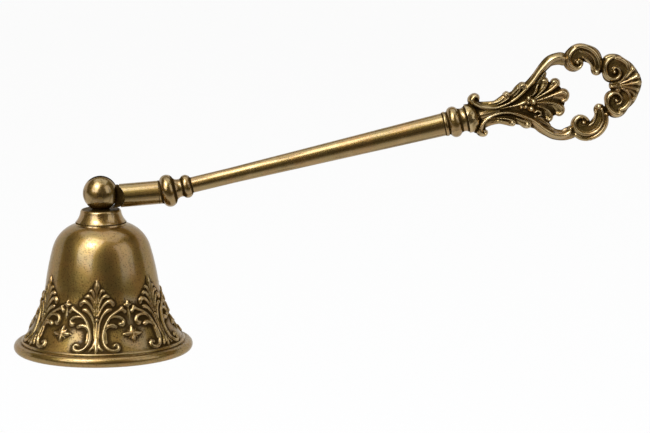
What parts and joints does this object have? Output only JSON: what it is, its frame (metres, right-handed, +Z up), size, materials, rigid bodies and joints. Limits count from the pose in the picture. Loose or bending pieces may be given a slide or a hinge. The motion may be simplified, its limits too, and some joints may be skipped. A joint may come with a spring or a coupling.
{
  "type": "candle snuffer",
  "caption": "Antique brass candle snuffer: a flared bell hinged in a slotted ball on a long turned handle that ends in a scrolled finger loop.",
  "frame": {"origin": "centre of the bell's mouth, in the plane of the rim's lowest edge", "axes": "+Z up the bell's axis, +X along the handle towards the finger loop, +Y across, along the hinge pin"},
  "size_m": [0.1894, 0.0538, 0.0905],
  "materials": {
    "cast_bell_brass": "antique satin with dark patina in the relief",
    "turned_brass": "antique satin, turned",
    "cast_loop_brass": "antique satin with dark patina in the carving",
    "fitting_brass": "dull brass"
  },
  "bodies": {
    "handle": {"hinge_tongue": "fitting_brass", "ferrule": "turned_brass", "neck_bead": "turned_brass", "shaft": "turned_brass", "butt_collar": "turned_brass", "handle_stud": "fitting_brass", "handle_loop": "cast_loop_brass"},
    "bell": {"bell_cup": "cast_bell_brass", "crown_collar": "turned_brass", "ball_head": "turned_brass", "crown_washer": "fitting_brass", "crown_nut": "fitting_brass", "hinge_pin": "fitting_brass"}
  },
  "joints": [
    {"name": "bell_swing", "type": "hinge", "parent": "handle", "child": "bell", "pos_m": [0, 0, 0.0464], "axis": [0, 1, 0], "range_deg": [-3, 85]}
  ]
}
